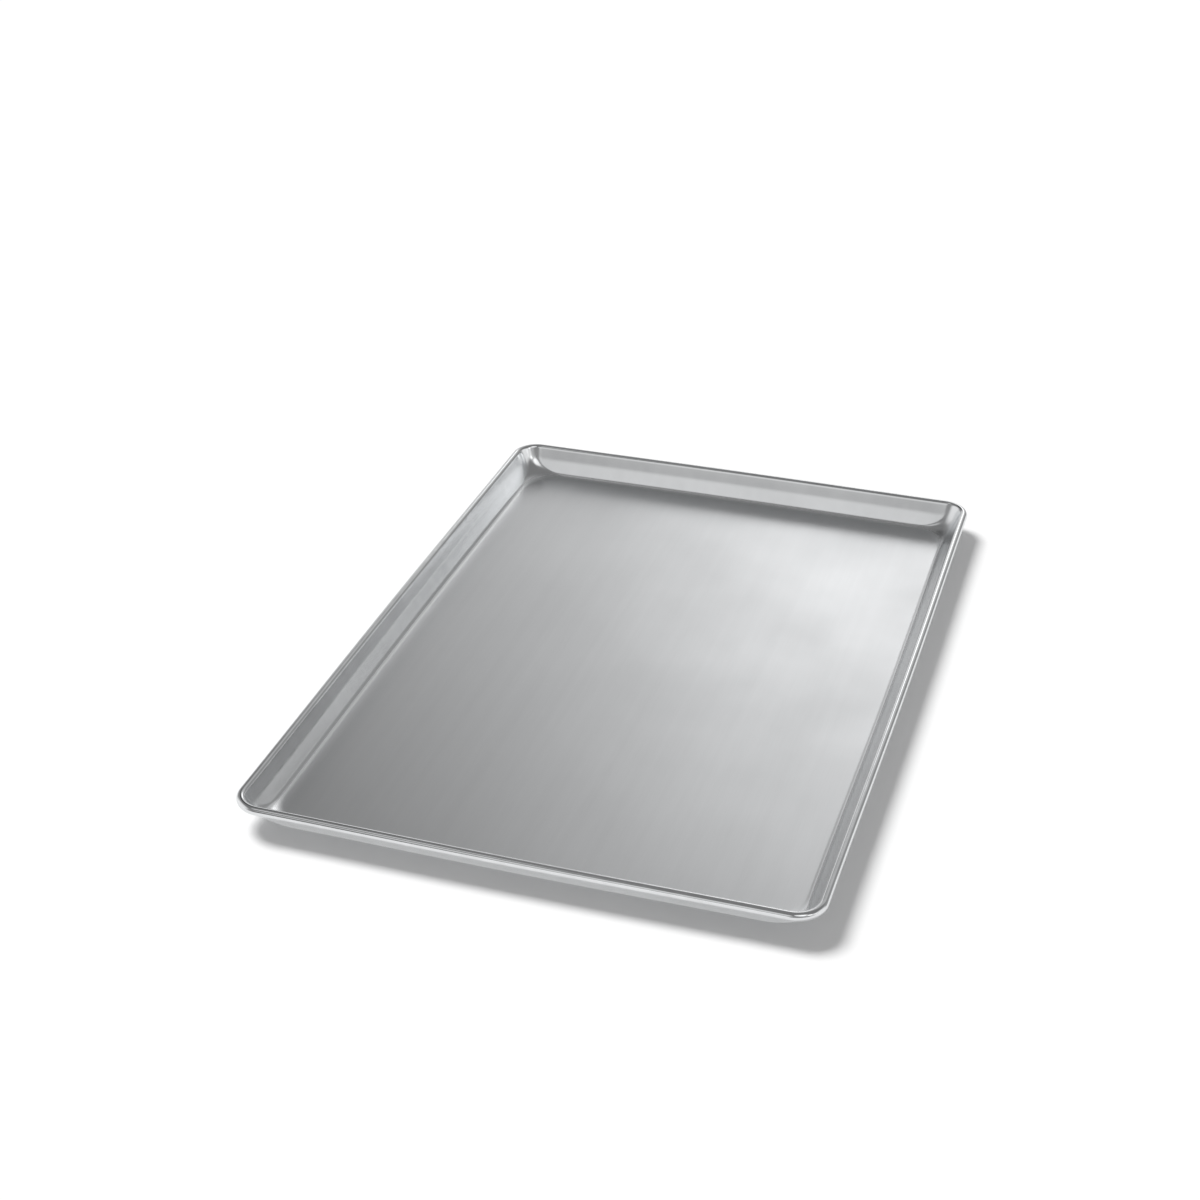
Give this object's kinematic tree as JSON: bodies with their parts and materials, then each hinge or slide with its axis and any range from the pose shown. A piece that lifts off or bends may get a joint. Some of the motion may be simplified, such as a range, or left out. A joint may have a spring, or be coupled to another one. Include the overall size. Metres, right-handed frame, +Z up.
{
  "type": "sheet pan",
  "caption": "Shallow rectangular aluminium sheet pan for oven baking, with a flat floor, flared walls, rounded corners and a rim rolled round a steel wire.",
  "frame": {"origin": "centre of the flat underside, on the surface that the pan stands on", "axes": "+Z up out of the pan, +Y along its long side, +X across it"},
  "size_m": [0.451, 0.654, 0.0254],
  "materials": {
    "aluminium_sheet": "satin, rolled and pressed bare metal",
    "galvanised_wire": "dull zinc coating"
  },
  "bodies": {
    "root": {"pan_body": "aluminium_sheet", "rim_wire": "galvanised_wire"}
  },
  "joints": []
}
